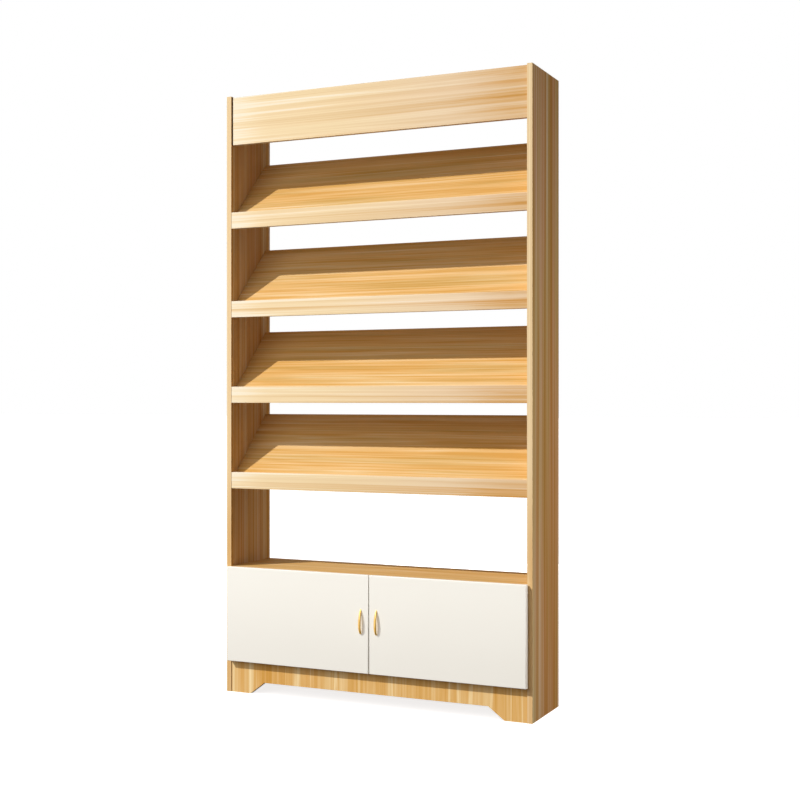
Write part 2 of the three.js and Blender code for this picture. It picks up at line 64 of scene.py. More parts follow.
# Flat lamps: a softbox beside the key, fills at the right and behind, and small fills for some pieces only
FLAT_LAMPS = {
    "softbox": dict(place=(-1.3, -3.1, 1.7), aim=(0.0, 0.0, 0.9), size=(3.0, 2.6), power=46.0),
    "side_fill": dict(
        place=(2.2, 0.1, 0.5), aim=(0.5, 0.1, 0.5), size=(0.5, 1.2), power=14.5, colour=(1.0, 0.96, 0.91)),
    "rear_fill": dict(place=(-1.4, 3.0, 0.8), aim=(0.0, 0.1, 0.9), size=(2.0, 1.6), power=25.0),
    "bow_fill": dict(
        place=(-0.2, -0.4, 0.12), aim=(-0.05, -0.2, 0.25), size=(0.5, 0.25), power=0.42,
        colour=(1.0, 0.86, 0.45)),
    "door_fill": dict(place=(2.0, 0.4, 0.4), aim=(0.5, -0.12, 0.3), size=(0.6, 0.6), power=4.4),
    "hinge_fill": dict(place=(0.0, -1.5, 0.5), aim=(0.0, 0.0, 0.25), size=(1.6, 0.9), power=7.0),
}

# Room: a white backdrop, a warm glow that grows from below to above, and a pale floor
BACKDROP_COLOUR = (1.0, 1.0, 1.0)
AMBIENT_COLOUR = (1.0, 0.86, 0.79)
AMBIENT_BELOW = 0.06
AMBIENT_ABOVE = 0.36
FLOOR_REACH = 60.0
FLOOR_GLOW = 0.88

# The rack's pieces, by their names
SIDES = ("left", "right")
LEVELS = ("upper", "lower")
TIERS = range(1, 5)
INWARD = {"left": Vector((1.0, 0.0, 0.0)), "right": Vector((-1.0, 0.0, 0.0))}
BACKWARD = Vector((0.0, 1.0, 0.0))
UPWARD = Vector((0.0, 0.0, 1.0))

# Board edges
BOARD_EDGE = 0.7 * MM
WELD = 0.005 * MM
ROUND_BELOW = math.radians(40)

# Bow handles
BOW_SPAN = 70 * MM
BOW_RISE = 9.5 * MM
BOW_LOWER_LEAN = 4 * MM
BOW_UPPER_LEAN = 20 * MM
BOW_ABOVE_MIDDLE = 7 * MM
BOW_SECTION = Vector((8 * MM, 5 * MM))
BOW_TIP = Vector((3.5 * MM, 3.5 * MM))
BOW_STEPS = 36
BOW_SIDES = 20
BOW_ROOT = 4 * MM

# Cross-head screws
SCREW_HEAD_RADIUS = 3.5 * MM
SCREW_HEAD_HEIGHT = 2 * MM
SCREW_FLAT = 0.48 * SCREW_HEAD_RADIUS
SCREW_CROSS_WALL = 0.12 * MM
SCREW_CROSS_DEPTH = 0.9 * MM
SCREW_SHANK = 1.7 * MM
SCREW_ROOT = 1.25 * MM
SCREW_PITCH = 1.6 * MM
SCREW_POINT = 3 * MM
SCREW_SIDES = 20
SCREW_TWIST = 0.7
WOOD_SCREW = 13 * MM
ARM_SCREW = 6 * MM
HANDLE_SCREW = 14 * MM
ARM_SCREW_FROM_END = 10.8 * MM

# Cover caps over the fittings on hidden faces, at shares of the way across a board
CAP_RADIUS = 8.75 * MM
CAP_HEIGHT = 0.9 * MM
CAP_SIDES = 32
CAP_FROM_END = 34 * MM
CAP_SHARES = (0.22, 0.78)
HEADER_CAP_SHARES = (0.22, 0.62)

# Laminate print, from its milky sapwood to its amber streaks
PRINT = (
    (0.00, (0.88, 0.80, 0.63)),
    (0.15, (0.836, 0.68, 0.427)),
    (0.35, (0.764, 0.582, 0.336)),
    (0.55, (0.71, 0.50, 0.255)),
    (0.78, (0.645, 0.382, 0.136)),
    (1.00, (0.564, 0.291, 0.068)),
)
ALONG_X, ALONG_Z = 0, 2
BLUSH = (1.0, 0.955, 0.93)
PEACH = (1.0, 1.02, 1.18)
INSIDE_ROSY = (1.0, 1.0, 1.15)
# Painted shade on the panels' outer faces: darker tints, in olive and rosy patches
SHADED_OUTSIDE_OLIVE = (0.77, 0.77, 0.66)
SHADED_OUTSIDE_ROSY = (0.84, 0.76, 0.72)

# Broad veins, from one share of a board's height to another, and how much deeper; rails have a tone first
HEADER_VEINS = ((0.33, 0.47, 0.13), (0.78, 1.20, -0.08))
RAIL_GRAIN = {
    1: (0.28, ((0.33, 0.47, 0.14),)),
    2: (0.36, ((0.33, 0.50, 0.20), (0.62, 1.20, -0.22))),
    3: (0.35, ((0.33, 0.47, 0.16),)),
    4: (0.17, ((-0.20, 0.47, 0.34),)),
}
VEIN_BLUR = 2 * MM
VEIN_WANDER = 8 * MM

# Panel edges, paler higher up, and a dark line of painted shade where the header's left end meets its
# panel
EDGE_PALE_TO = 0.3 * MM
EDGE_FADED_AT = 1.2 * MM
EDGE_PALE_ABOVE = (0.45, 0.75)
OUTSIDE_FROM = 1.0 * MM
OUTSIDE_FULL = 0.2 * MM
JOINT_SHADE_TO = 3.6 * MM
JOINT_SHADE_FADED_AT = 4.6 * MM
JOINT_SHADE_COLOUR = (0.05, 0.014, 0.0)


class Signal:
    """An output of a node. Arithmetic on signals and numbers adds Math nodes."""

    def __init__(self, nodes, socket):
        self.nodes = nodes
        self.socket = socket

    def math(self, operation, first, second=0.0):
        return self.nodes.add("ShaderNodeMath", {"operation": operation}, {0: first, 1: second})

    def __add__(self, other):
        return self.math("ADD", self, other)

    __radd__ = __add__

    def __sub__(self, other):
        return self.math("SUBTRACT", self, other)

    def __rsub__(self, other):
        return self.math("SUBTRACT", other, self)

    def __mul__(self, other):
        return self.math("MULTIPLY", self, other)

    __rmul__ = __mul__

    def __abs__(self):
        return self.math("ABSOLUTE", self)

    def rise(self, low, high):
        """0 below low, 1 above high, and a smooth climb between them."""
        return self.nodes.add(
            "ShaderNodeMapRange", {"interpolation_type": "SMOOTHSTEP"}, {"Value": self, 1: low, 2: high})


class Nodes:
    """A tree of nodes, empty at first."""

    def __init__(self, tree):
        self.tree = tree
        tree.nodes.clear()

    def add(self, kind, settings, sockets, output=0):
        """Adds a node of a kind, with its settings, then its sockets' values or links.

        Gives one of its outputs."""
        node = self.tree.nodes.new(kind)
        for name, value in settings.items():
            if name == "stops":
                self.lay_stops(node.color_ramp, value)
            else:
                setattr(node, name, value)
        for name, value in sockets.items():
            self.join(value, node.inputs[name])
        return Signal(self, node.outputs[output])

    def end(self, kind, value):
        """Adds the node that takes in the tree's result."""
        self.join(value, self.tree.nodes.new(kind).inputs[0])

    def join(self, value, socket):
        if isinstance(value, Signal):
            self.tree.links.new(value.socket, socket)
        else:
            socket.default_value = value

    @staticmethod
    def lay_stops(ramp, stops):
        while len(ramp.elements) < len(stops):
            ramp.elements.new(1.0)
        for element, (position, colour) in zip(ramp.elements, stops):
            element.position = position
            element.color = (*colour, 1.0)


class Finish(Nodes):
    """A material: one Principled shader, and the nodes that feed it."""

    def __init__(self, name, **constants):
        self.material = bpy.data.materials.new(name)
        self.material.use_nodes = True
        super().__init__(self.material.node_tree)
        self.shader = self.tree.nodes.new("ShaderNodeBsdfPrincipled")
        self.end("ShaderNodeOutputMaterial", Signal(self, self.shader.outputs["BSDF"]))
        self.feed(**constants)

    def feed(self, **sockets):
        for name, value in sockets.items():
            self.join(value, self.shader.inputs[name.replace("_", " ")])

    def place(self):
        """Object coordinates, which are the rack's own."""
        return self.add("ShaderNodeTexCoord", {}, {}, "Object")

    def along(self, axis):
        """One of the object coordinates."""
        return self.add("ShaderNodeSeparateXYZ", {}, {0: self.place()}, axis)

    def noise(self, size, seed, detail=2.0, roughness=0.5, distortion=0.0):
        """Noise with features of a size on each axis, in metres."""
        spread = self.add("ShaderNodeMapping", {}, {
            "Vector": self.place(),
            "Location": (seed, seed, seed),
            "Scale": tuple(1 / length for length in size),
        })
        return self.add("ShaderNodeTexNoise", {}, {
            "Vector": spread, "Scale": 1.0, "Detail": detail,
            "Roughness": roughness, "Distortion": distortion,
        })

    def blend(self, share, first, second):
        """A colour between two others."""
        return self.add("ShaderNodeMix", {"data_type": "RGBA"}, {
            0: share, 6: self.colour(first), 7: self.colour(second)}, 2)

    def tint(self, share, colour, by):
        """A colour multiplied by another, as far as a share says."""
        return self.add("ShaderNodeMix", {"data_type": "RGBA", "blend_type": "MULTIPLY"}, {
            0: share, 6: colour, 7: self.colour(by)}, 2)

    @staticmethod
    def colour(value):
        return value if isinstance(value, Signal) else (*value, 1.0)

    def bump(self, height, strength, depth):
        self.feed(Normal=self.add(
            "ShaderNodeBump", {}, {"Height": height, "Strength": strength, "Distance": depth}))


class Laminate(Finish):
    """Printed wood laminate, with bands, streaks and fibres along one axis of its board."""

    def __init__(self, name, run, tone, spread=1.0, reach=1.0, gloss=0.06):
        super().__init__(name, Specular_IOR_Level=gloss)
        self.run = run
        self.spread = spread
        self.reach = reach
        self.tone = tone
        self.tints = []
        bands = self.grain(0.8, 0.028, 3.1, distortion=0.6)
        streaks = self.grain(0.4, 0.009, 7.7, distortion=0.3)
        lines = self.grain(1.0, 0.0034, 11.4)
        self.fibres = self.grain(0.16, 0.0013, 1.9, detail=3.0)
        self.pattern = bands + streaks * 0.8 + lines * 0.85 + self.fibres * 0.45

    def grain(self, length, width, seed, **more):
        """Noise about zero, drawn out along the print."""
        size = [width * self.spread] * 3
        size[self.run] = length * self.reach
        return self.noise(size, seed, **more) - 0.5

    def deepen(self, further):
        """Goes from milky at the board's left end to honey at its right, and further past its middle."""
        across = self.along("X")
        honey = self.grain(0.10, 0.014, 14.6, detail=3.0).rise(-0.06, 0.16) * across.rise(0.12, 0.42)
        milky = 1 - across.rise(-0.49, -0.34)
        self.pattern = self.pattern * (0.85 + across * 0.2)
        self.tone = (
            self.tone + across * 0.25 + across.rise(0.22, 0.46) * 0.23 + honey * 0.14
            + across.rise(-0.25, 0.1) * further - milky * 0.13)
        self.tints.append((across.rise(-0.2, 0.4), PEACH))

    def lay_veins(self, board, veins):
        """Lays broad veins along a board, which wander a little."""
        low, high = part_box(board)
        tall = high.z - low.z
        height = self.along("Z") + self.grain(0.25, 0.05, 25.3) * VEIN_WANDER

        def above(share):
            edge = low.z + share * tall
            return height.rise(edge - VEIN_BLUR, edge + VEIN_BLUR)

        for start, end, depth in veins:
            self.tone = self.tone + (above(start) - above(end)) * depth

    def edge_panels(self, front, top, outside):
        """Gives panels paler front and top edges and rosy patches, and darkens their outside with painted
        shade in olive and rosy patches.
        """
        behind = self.along("Y").rise(front + EDGE_PALE_TO, front + EDGE_FADED_AT)
        below = 1 - self.along("Z").rise(top - EDGE_FADED_AT, top - EDGE_PALE_TO)
        face = behind * below
        edge = 1 - face
        shaded_outside = abs(self.along("X")).rise(outside - OUTSIDE_FROM, outside - OUTSIDE_FULL) * face
        high_up = self.along("Z").rise(*EDGE_PALE_ABOVE)
        left = 1 - self.along("X").rise(-0.2, 0.2)
        self.pattern = self.pattern * (1.5 + shaded_outside * 0.3 - edge * 1.05)
        self.tone = self.tone - edge * (high_up * 0.32 + left * 0.12)
        rosy = self.grain(0.16, 0.035, 21.7).rise(-0.12, 0.16)
        self.tints.append((rosy * face, INSIDE_ROSY))
        # Painted shade: the outer faces are darkened, in olive and rosy patches
        self.tints.append((shaded_outside, self.blend(rosy, SHADED_OUTSIDE_OLIVE, SHADED_OUTSIDE_ROSY)))

    def show(self, sway, blush=BLUSH, cast=None, flecks=0.18, shaded_joint=None):
        """Lays the print on, swaying about its tone.

        Blush tints it in patches, and cast all over. A shaded joint is where its left end meets a panel,
        and a dark line of painted shade is laid there."""
        pale = 1 - abs(self.grain(2.6, 0.040, 9.2)).rise(0.004, 0.018)
        patches = self.grain(0.7, 0.030, 16.3).rise(-0.05, 0.2)
        pores = self.grain(0.025, 0.0006, 5.3)
        shown = (self.pattern - pale * flecks) * sway + self.tone
        colour = self.add("ShaderNodeValToRGB", {"stops": PRINT}, {"Fac": shown})
        colour = self.tint(patches * 0.8, colour, blush)
        if cast is not None:
            colour = self.tint(1.0, colour, cast)
        for share, by in self.tints:
            colour = self.tint(share, colour, by)
        # Painted shade: a dark line at the left end, where the board meets a panel
        if shaded_joint is not None:
            joint_shade = 1 - self.along("X").rise(shaded_joint + JOINT_SHADE_TO, shaded_joint + JOINT_SHADE_FADED_AT)
            colour = self.blend(joint_shade * 0.95, colour, JOINT_SHADE_COLOUR)
        self.feed(Base_Color=colour, Roughness=0.54 + self.fibres * 0.25)
        self.bump(self.fibres + pores, 0.25, 0.15 * MM)
        return self.material


def rail_laminate(tier):
    tone, veins = RAIL_GRAIN[tier]
    wood = Laminate(f"rail_laminate_{tier}", ALONG_X, tone, reach=2.2)
    wood.deepen(0.0)
    wood.lay_veins(f"tier_{tier}_front_rail", veins)
    return wood.show(0.8)


def header_laminate():
    wood = Laminate("header_laminate", ALONG_X, 0.32, reach=2.2)
    wood.deepen(0.03)
    wood.lay_veins("header_panel", HEADER_VEINS)
    return wood.show(0.65, shaded_joint=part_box("header_panel")[0].x)


def shelf_laminate():
    wood = Laminate("shelf_laminate", ALONG_X, 0.83, gloss=0.03)
    return wood.show(0.7, blush=(0.86, 0.93, 0.93), cast=(0.96, 1.0, 1.08))


def upright_laminate():
    low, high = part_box("right_side_panel")
    wood = Laminate("upright_laminate", ALONG_Z, 0.69, spread=1.35, reach=4.0)
    wood.edge_panels(front=low.y, top=high.z, outside=high.x)
    return wood.show(0.9)


def plinth_laminate():
    wood = Laminate("plinth_laminate", ALONG_Z, 0.75, spread=2.2)
    return wood.show(0.75, cast=(1.07, 1.06, 0.96), flecks=0.4)


def white_laminate():
    """Warm white door laminate: a faint pebble, a hint of cloud, and painted shade that makes it greyer
    near the floor.
    """
    finish = Finish("white_laminate", Specular_IOR_Level=0.4)
    cloud = finish.noise((0.25, 0.25, 0.25), 2.0)
    pebble = finish.noise((0.0016, 0.0016, 0.0016), 4.0, detail=3.0)
    # Painted shade: a greyer copy of the white takes over towards the floor
    unshaded_white = finish.blend(cloud, (0.875, 0.865, 0.805), (0.90, 0.90, 0.845))
    shaded_white = finish.blend(cloud, (0.80, 0.79, 0.735), (0.83, 0.825, 0.77))
    finish.feed(
        Base_Color=finish.blend(finish.along("Z").rise(0.06, 0.37), shaded_white, unshaded_white),
        Roughness=0.36 + (pebble - 0.5) * 0.2)
    finish.bump(pebble, 0.12, 0.05 * MM)
    return finish.material


def brass():
    """Satin brass plate, with fine polishing lines along the bow."""
    finish = Finish("polished_brass", Metallic=1.0)
    lines = finish.noise((0.0004, 0.0004, 0.02), 6.0, detail=4.0)
    bloom = finish.noise((0.012, 0.012, 0.02), 1.0)
    finish.feed(
        Base_Color=finish.blend(bloom.rise(0.3, 0.7), (0.88, 0.56, 0.15), (0.96, 0.70, 0.27)),
        Roughness=0.5 + (lines - 0.5) * 0.25)
    finish.bump(lines, 0.08, 0.02 * MM)
    return finish.material


def nickel():
    """Nickel-plated pressed steel, slightly clouded."""
    finish = Finish("nickel_plate", Metallic=1.0)
    lines = finish.noise((0.0006, 0.012, 0.0006), 3.0, detail=3.0)
    cloud = finish.noise((0.008, 0.008, 0.008), 8.0)
    finish.feed(
        Base_Color=finish.blend(cloud.rise(0.3, 0.7), (0.68, 0.69, 0.70), (0.80, 0.81, 0.81)),
        Roughness=0.38 + (lines - 0.5) * 0.3)
    finish.bump(lines, 0.1, 0.02 * MM)
    return finish.material


def silicone():
    """Frosted clear bumpers."""
    finish = Finish("clear_silicone", Transmission_Weight=0.5, IOR=1.41)
    frost = finish.noise((0.0008, 0.0008, 0.0008), 5.0)
    finish.feed(
        Base_Color=finish.blend(frost, (0.74, 0.77, 0.78), (0.84, 0.86, 0.86)),
        Roughness=0.35 + (frost - 0.5) * 0.2)
    return finish.material


def cap_plastic():
    """Wood-toned plastic of the cover caps, with a faint moulded grain."""
    finish = Finish("cap_plastic", Specular_IOR_Level=0.4)
    mottle = finish.noise((0.02, 0.004, 0.004), 3.0)
    pebble = finish.noise((0.0012, 0.0012, 0.0012), 7.0)
    finish.feed(
        Base_Color=finish.blend(mottle.rise(0.3, 0.7), (0.60, 0.37, 0.15), (0.68, 0.46, 0.22)),
        Roughness=0.42 + (pebble - 0.5) * 0.2)
    finish.bump(pebble, 0.15, 0.05 * MM)
    return finish.material


def back_sheet():
    """Thin hardboard: a printed face to the cupboard, brown pressed fibre behind."""
    finish = Finish("back_sheet", Specular_IOR_Level=0.3)
    low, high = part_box("cupboard_back")
    middle = (low.y + high.y) / 2
    behind = finish.along("Y").rise(middle - 0.2 * MM, middle + 0.2 * MM)
    streaks = finish.noise((0.7, 0.014, 0.014), 4.4)
    fibre = finish.noise((0.003, 0.003, 0.003), 6.1, detail=4.0, roughness=0.7)
    face = finish.blend(streaks.rise(0.3, 0.7), (0.71, 0.50, 0.26), (0.62, 0.37, 0.14))
    board = finish.blend(fibre.rise(0.25, 0.75), (0.21, 0.12, 0.06), (0.36, 0.22, 0.115))
    finish.feed(Base_Color=finish.blend(behind, face, board), Roughness=0.55 + behind * 0.25)
    finish.bump(fibre, 0.3, 0.1 * MM)
    return finish.material


def dress(node, material):
    """Gives a CAD node its finish."""
    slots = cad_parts[node].data.materials
    slots.clear()
    slots.append(material)


def soften(node):
    """Rounds a board's edges so that they catch the light."""
    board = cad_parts[node]
    weld = board.modifiers.new("closed", "WELD")
    weld.merge_threshold = WELD
    bevel = board.modifiers.new("soft_edges", "BEVEL")
    bevel.width = BOARD_EDGE
    bevel.segments = 2
    bevel.profile = 0.5
    bevel.limit_method = "ANGLE"
    bevel.angle_limit = ROUND_BELOW


def round_shading():
    """Nodes that close a CAD mesh and shade its shallow corners as round."""
    tree = bpy.data.node_groups.new("round_shading", "GeometryNodeTree")
    for way in ("INPUT", "OUTPUT"):
        tree.interface.new_socket("Geometry", in_out=way, socket_type="NodeSocketGeometry")
    nodes = Nodes(tree)
    mesh = nodes.add("NodeGroupInput", {}, {})
    closed = nodes.add("GeometryNodeMergeByDistance", {}, {"Geometry": mesh, "Distance": WELD})
    corner = nodes.add("GeometryNodeInputMeshEdgeAngle", {}, {}, "Unsigned Angle")
    sharp = nodes.add("FunctionNodeCompare", {"operation": "GREATER_THAN"}, {0: corner, 1: ROUND_BELOW})
    shaded = nodes.add("GeometryNodeSetMeshNormal", {}, {"Mesh": closed, "Edge Sharpness": sharp})
    nodes.end("NodeGroupOutput", shaded)
    return tree


def shade_round(node, tree):
    """Shades a CAD node's round faces as round and its flat ones as flat."""
    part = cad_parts[node]
    part.modifiers.new("round_shading", "NODES").node_group = tree
    weights = part.modifiers.new("flat_faces", "WEIGHTED_NORMAL")
    weights.keep_sharp = True


def made_of(things, kind):
    """Those of some mesh elements that are of one kind."""
    return [thing for thing in things if isinstance(thing, kind)]


def piece(name, shape, body, material, stands_for=None):
    """Makes a shape into a piece of the rack that moves with a body."""
    bmesh.ops.recalc_face_normals(shape, faces=shape.faces)
    mesh = bpy.data.meshes.new(name)
    shape.to_mesh(mesh)
    shape.free()
    mesh.shade_smooth()
    mesh.set_sharp_from_angle(angle=ROUND_BELOW)
    mesh.materials.append(material)
    thing = bpy.data.objects.new(name, mesh)
    bpy.context.scene.collection.objects.link(thing)
    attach(thing, body)
    if stands_for:
        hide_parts(stands_for)
    return thing


def turn(shape, profile, sides):
    """Spins (radius, height) points about the upright axis."""
    points = [shape.verts.new((radius, 0.0, height)) for radius, height in profile]
    edges = [shape.edges.new(pair) for pair in zip(points, points[1:])]
    bmesh.ops.spin(
        shape, geom=points + edges, cent=(0.0, 0.0, 0.0), axis=UPWARD,
        angle=math.tau, steps=sides, use_merge=True)
    bmesh.ops.remove_doubles(shape, verts=shape.verts, dist=WELD)


def stand(seat, way, twist=0.0):
    """A place for a shape made upright on the origin, with its top pointing one way."""
    turned = Vector(way).to_track_quat("Z", "Y").to_matrix().to_4x4()
    return Matrix.Translation(seat) @ turned @ Matrix.Rotation(twist, 4, "Z")


def placed(shape, place):
    """A copy of a shape, in its place."""
    copy = shape.copy()
    bmesh.ops.transform(copy, matrix=place, verts=copy.verts)
    return copy


def bow_middle(side):
    """The middle of a bow's span, on its door's front face."""
    low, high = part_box(f"{side}_handle")
    door_low, door_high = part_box(f"{side}_door")
    return Vector((
        (low.x + high.x) / 2, door_low.y, (door_low.z + door_high.z) / 2 + BOW_ABOVE_MIDDLE))


def bow_handle(side):
    """A crescent bow: an oval section swept along a leaning curve and cut flat on the door's face."""
    middle = bow_middle(side)
    half = BOW_SPAN / 2
    reach = -BOW_RISE * 4 / 3
    path = interpolate_bezier(
        Vector((0.0, 0.0, -half)), Vector((0.0, reach, BOW_LOWER_LEAN - half)),
        Vector((0.0, reach, half - BOW_UPPER_LEAN)), Vector((0.0, 0.0, half)), BOW_STEPS + 1)
    first = path[0] + (path[0] - path[1]).normalized() * BOW_ROOT
    last = path[-1] + (path[-1] - path[-2]).normalized() * BOW_ROOT
    stations = [first, *path, last]

    def section(station):
        before, after = stations[max(station - 1, 0)], stations[min(station + 1, len(stations) - 1)]
        run = (after - before).normalized()
        swell = math.sin(math.pi * min(max((station - 1) / BOW_STEPS, 0.0), 1.0)) ** 0.5
        size = BOW_TIP.lerp(BOW_SECTION, swell)
        wide = Vector((1.0, 0.0, 0.0))
        turned = Matrix((wide * size.x, run.cross(wide) * size.y, run)).transposed().to_4x4()
        return Matrix.Translation(middle + stations[station]) @ turned

    shape = bmesh.new()
    bmesh.ops.create_circle(shape, segments=BOW_SIDES, radius=0.5, matrix=section(0))
    edges = shape.edges[:]
    for station in range(1, len(stations)):
        grown = bmesh.ops.extrude_edge_only(shape, edges=edges)["geom"]
        edges = made_of(grown, bmesh.types.BMEdge)
        step = section(station) @ section(station - 1).inverted()
        bmesh.ops.transform(shape, matrix=step, verts=made_of(grown, bmesh.types.BMVert))
    bmesh.ops.bisect_plane(
        shape, geom=shape.verts[:] + shape.edges[:] + shape.faces[:],
        plane_co=(0.0, middle.y, 0.0), plane_no=BACKWARD, clear_outer=True)
    bmesh.ops.holes_fill(shape, edges=[edge for edge in shape.edges if edge.is_boundary])
    return shape


def cross_screw(length):
    """An upright pan-head screw with a cross recess, its seat at the origin."""
    shape = bmesh.new()
    radius, top = SCREW_HEAD_RADIUS, SCREW_HEAD_HEIGHT
    head = [
        (0.62 * radius, 0.98 * top), (0.82 * radius, 0.84 * top), (0.95 * radius, 0.55 * top),
        (radius, 0.22 * top), (0.97 * radius, 0.0), (SCREW_SHANK, 0.0)]
    thread = []
    for ridge in range(int((length - SCREW_POINT) / SCREW_PITCH)):
        depth = -(ridge + 0.5) * SCREW_PITCH
        thread += [(SCREW_ROOT, depth), (SCREW_SHANK, depth - SCREW_PITCH / 2)]
    tip = [(SCREW_ROOT, SCREW_POINT - length), (0.0, -length)]
    turn(shape, head + thread + tip, SCREW_SIDES)

    cells = SCREW_SIDES // 4
    flat = bmesh.ops.create_grid(
        shape, x_segments=cells, y_segments=cells, size=SCREW_FLAT,
        matrix=Matrix.Translation((0.0, 0.0, top)))["verts"]
    bmesh.ops.bridge_loops(shape, edges=[edge for edge in shape.edges if edge.is_boundary])
    bmesh.ops.recalc_face_normals(shape, faces=shape.faces)
    cell = 2 * SCREW_FLAT / cells
    cross = [
        face for face in shape.faces if all(vert in flat for vert in face.verts)
        and sum(abs(side) for side in face.calc_center_median().xy) < 1.5 * cell]
    bmesh.ops.inset_region(
        shape, faces=cross, thickness=SCREW_CROSS_WALL, depth=-SCREW_CROSS_DEPTH, use_even_offset=True)
    return shape


def cover_caps(board, start, run, way, shares=CAP_SHARES):
    """Low round caps near both ends of a board, at shares of a run from where it starts."""
    low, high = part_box(board)
    seats = [
        Vector((x, start.y, start.z)) + run * share
        for x in (low.x + CAP_FROM_END, high.x - CAP_FROM_END)
        for share in shares]
    shape = bmesh.new()
    for seat in seats:
        cap = bmesh.new()
        turn(cap, [
            (0.0, 0.86 * CAP_HEIGHT), (0.18 * CAP_RADIUS, CAP_HEIGHT), (0.80 * CAP_RADIUS, CAP_HEIGHT),
            (0.93 * CAP_RADIUS, 0.78 * CAP_HEIGHT), (CAP_RADIUS, 0.3 * CAP_HEIGHT), (CAP_RADIUS, 0.0),
            (0.0, 0.0)], CAP_SIDES)
        bmesh.ops.transform(cap, matrix=stand(seat, way), verts=cap.verts)
        mesh = bpy.data.meshes.new("cap")
        cap.to_mesh(mesh)
        cap.free()
        shape.from_mesh(mesh)
        bpy.data.meshes.remove(mesh)
    return shape


def pale_floor():
    """A wide pale floor that glows a little, so that the rack leaves only a faint shadow on it."""
    shape = bmesh.new()
    bmesh.ops.create_grid(shape, x_segments=1, y_segments=1, size=FLOOR_REACH)
    mesh = bpy.data.meshes.new("pale_floor")
    shape.to_mesh(mesh)
    shape.free()
    floor = bpy.data.objects.new("pale_floor", mesh)
    bpy.context.scene.collection.objects.link(floor)
    finish = Finish("floor_paint", Roughness=0.9, Specular_IOR_Level=0.0, Emission_Strength=FLOOR_GLOW)
    grit = finish.noise((0.4, 0.4, 0.4), 1.0)
    paint = finish.blend(grit, (0.90, 0.90, 0.90), (0.92, 0.92, 0.92))
    finish.feed(Base_Color=paint, Emission_Color=paint)
    mesh.materials.append(finish.material)
    floor.visible_diffuse = False
    floor.visible_glossy = False
    return floor


def hang(name, light, towards):
    """Puts a lamp in the scene, shining from the side that a direction points to."""
    lamp = bpy.data.objects.new(name, light)
    lamp.rotation_euler = Vector(towards).to_track_quat("Z", "Y").to_euler()
    bpy.context.scene.collection.objects.link(lamp)
    return lamp


def sun(name, towards, strength, angle):
    light = bpy.data.lights.new(name, "SUN")
    light.energy = strength
    light.angle = math.radians(angle)
    return hang(name, light, towards)


def flat_lamp(name, place, aim, size, power, colour=(1.0, 1.0, 1.0)):
    """A rectangular lamp that faces a point."""
    light = bpy.data.lights.new(name, "AREA")
    light.shape = "RECTANGLE"
    light.size, light.size_y = size
    light.energy = power
    light.color = colour
    lamp = hang(name, light, Vector(place) - Vector(aim))
    lamp.location = place
    lamp.visible_camera = False
    return lamp


def linked(name, things, state):
    """A collection that a lamp takes in or leaves out."""
    group = bpy.data.collections.new(name)
    for thing in things:
        group.objects.link(thing)
    for member in group.collection_objects:
        member.light_linking.link_state = state
    return group


def only_lights(lamp, things, state):
    """Keeps a lamp to some things, or off them."""
    lamp.light_linking.receiver_collection = linked(f"{lamp.name}_lights", things, state)


def hang_the_lamps(floor, bows, fittings):
    """Hangs the suns and the flat lamps, some of them kept to some pieces."""
    for name, strength, unlit in (
            ("key", KEY_STRENGTH, [floor]), ("key_past_bows", KEY_PASSING, [floor, *bows])):
        key = sun(name, KEY_TOWARDS, strength, KEY_ANGLE)
        key.data.color = KEY_COLOUR
        only_lights(key, unlit, "EXCLUDE")
    key.light_linking.blocker_collection = linked("bows_let_past", bows, "EXCLUDE")
    overhead = sun("overhead", OVERHEAD_TOWARDS, OVERHEAD_STRENGTH, OVERHEAD_ANGLE)
    only_lights(overhead, [floor], "INCLUDE")
    lamps = {name: flat_lamp(name, **facts) for name, facts in FLAT_LAMPS.items()}
    lamps["rear_fill"].visible_glossy = False
    only_lights(lamps["bow_fill"], bows, "INCLUDE")
    only_lights(lamps["door_fill"], [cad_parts[f"{side}_door"] for side in SIDES], "INCLUDE")
    only_lights(lamps["hinge_fill"], fittings, "INCLUDE")


def surround():
    """Shows the camera a white backdrop, and lights the rack with the room's glow."""
    world = bpy.data.worlds.new("studio")
    world.use_nodes = True
    nodes = Nodes(world.node_tree)
    around = nodes.add("ShaderNodeTexCoord", {}, {}, "Generated")
    upward = nodes.add("ShaderNodeSeparateXYZ", {}, {0: around}, "Z")
    climb = nodes.add("ShaderNodeMapRange", {}, {
        "Value": upward, 1: -1.0, 2: 1.0, 3: AMBIENT_BELOW, 4: AMBIENT_ABOVE})
    glow = nodes.add("ShaderNodeBackground", {}, {"Color": (*AMBIENT_COLOUR, 1.0), "Strength": climb})
    backdrop = nodes.add("ShaderNodeBackground", {}, {"Color": (*BACKDROP_COLOUR, 1.0), "Strength": 1.0})
    seen = nodes.add("ShaderNodeLightPath", {}, {}, "Is Camera Ray")
    room = nodes.add("ShaderNodeMixShader", {}, {0: seen, 1: glow, 2: backdrop})
    nodes.end("ShaderNodeOutputWorld", room)
    bpy.context.scene.world = world


def stand_the_camera():
    """A level camera, with colours shown as they are."""
    view = bpy.data.cameras.new("camera")
    view.lens = CAMERA_LENS
    view.sensor_width = CAMERA_SENSOR
    camera = bpy.data.objects.new("camera", view)
    camera.location = CAMERA_PLACE
    camera.rotation_euler = (math.pi / 2, 0.0, CAMERA_YAW)
    bpy.context.scene.collection.objects.link(camera)
    bpy.context.scene.camera = camera
    bpy.context.scene.view_settings.view_transform = "Standard"


# Finishes of the CAD nodes
rail_prints = {tier: rail_laminate(tier) for tier in TIERS}
header_print, shelf_print = header_laminate(), shelf_laminate()
upright_print, plinth_print = upright_laminate(), plinth_laminate()
white, gold, plated = white_laminate(), brass(), nickel()
clear, hardboard, cap_brown = silicone(), back_sheet(), cap_plastic()
rounded = round_shading()

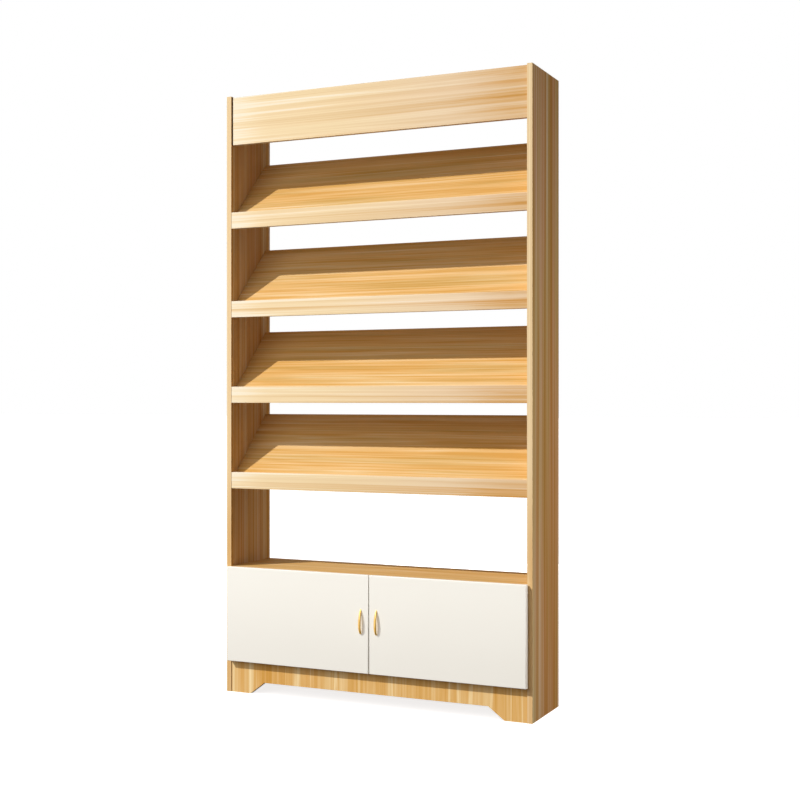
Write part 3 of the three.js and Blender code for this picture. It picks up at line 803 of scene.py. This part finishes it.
boards = {
    **{name: upright_print for name in (
        "left_side_panel", "right_side_panel", "cupboard_divider")},
    **{name: plinth_print for name in ("front_plinth", "rear_plinth")},
    **{name: shelf_print for name in ("top_panel", "open_shelf", "cupboard_floor")},
    **{f"tier_{tier}_slope_board": shelf_print for tier in TIERS},
    **{f"tier_{tier}_front_rail": rail_prints[tier] for tier in TIERS},
    "header_panel": header_print,
}
for board, material in boards.items():
    dress(board, material)
    soften(board)
dress("cupboard_back", hardboard)

fittings = []
for side in SIDES:
    dress(f"{side}_door", white)
    shade_round(f"{side}_door", rounded)
    dress(f"{side}_handle", gold)
    for level in LEVELS:
        dress(f"{side}_{level}_bumper", clear)
        shade_round(f"{side}_{level}_bumper", rounded)
        for part in ("cup", "arm", "plate", "pin"):
            node = f"{side}_{level}_hinge_{part}"
            dress(node, plated)
            shade_round(node, rounded)
            fittings.append(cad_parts[node])
        for part in ("cup", "plate"):
            for number in (1, 2):
                dress(f"{side}_{level}_{part}_screw_{number}", plated)

# Bow handles, and the screws that hold them from inside the doors
handle_screw = cross_screw(HANDLE_SCREW)
bows = []
for side in SIDES:
    bows.append(piece(
        f"{side}_bow", bow_handle(side), f"{side}_door", gold, f"{side}_handle"))
    middle = bow_middle(side)
    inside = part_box(f"{side}_door")[1].y
    for number, way in enumerate((-1, 1), 1):
        seat = Vector((middle.x, inside, middle.z + way * BOW_SPAN / 2))
        piece(
            f"{side}_handle_screw_{number}", placed(handle_screw, stand(seat, BACKWARD, number)),
            f"{side}_door", plated)

# Hinge screws, each turned a little further than the one before
wood_screw = cross_screw(WOOD_SCREW)
arm_screw = cross_screw(ARM_SCREW)
twist = 0.0
for side in SIDES:
    for level in LEVELS:
        for part, body, way in (("cup", f"{side}_door", BACKWARD), ("plate", "carcass", INWARD[side])):
            for number in (1, 2):
                node = f"{side}_{level}_{part}_screw_{number}"
                low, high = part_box(node)
                length = (high - low).dot(Vector(map(abs, way)))
                seat = (low + high) / 2 + way * (length / 2 - SCREW_HEAD_HEIGHT)
                twist += SCREW_TWIST
                fittings.append(piece(
                    f"{node}_cross_head", placed(wood_screw, stand(seat, way, twist)),
                    body, plated, node))
        low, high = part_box(f"{side}_{level}_hinge_plate")
        top = high.x if side == "left" else low.x
        seat = Vector((top, high.y - ARM_SCREW_FROM_END, (low.z + high.z) / 2))
        fittings.append(piece(
            f"{side}_{level}_arm_screw", placed(arm_screw, stand(seat, INWARD[side], twist)),
            "carcass", plated))

# Cover caps under the boards, under the slopes, which rise as much as they run back, and behind the header
caps = {}
for board in ("top_panel", "open_shelf", "cupboard_floor"):
    low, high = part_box(board)
    caps[f"{board}_caps"] = cover_caps(board, low, BACKWARD * (high.y - low.y), -UPWARD)
for tier in TIERS:
    board = f"tier_{tier}_slope_board"
    low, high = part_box(board)
    up_the_slope = (BACKWARD + UPWARD) * (high.y - low.y)
    caps[f"tier_{tier}_slope_caps"] = cover_caps(board, low, up_the_slope, BACKWARD - UPWARD)
low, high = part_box("header_panel")
foot = Vector((low.x, high.y, low.z))
caps["header_caps"] = cover_caps(
    "header_panel", foot, UPWARD * (high.z - low.z), BACKWARD, HEADER_CAP_SHARES)
for name, shape in caps.items():
    piece(name, shape, "carcass", cap_brown)

# Light, room and camera
hang_the_lamps(pale_floor(), bows, fittings)
surround()
stand_the_camera()
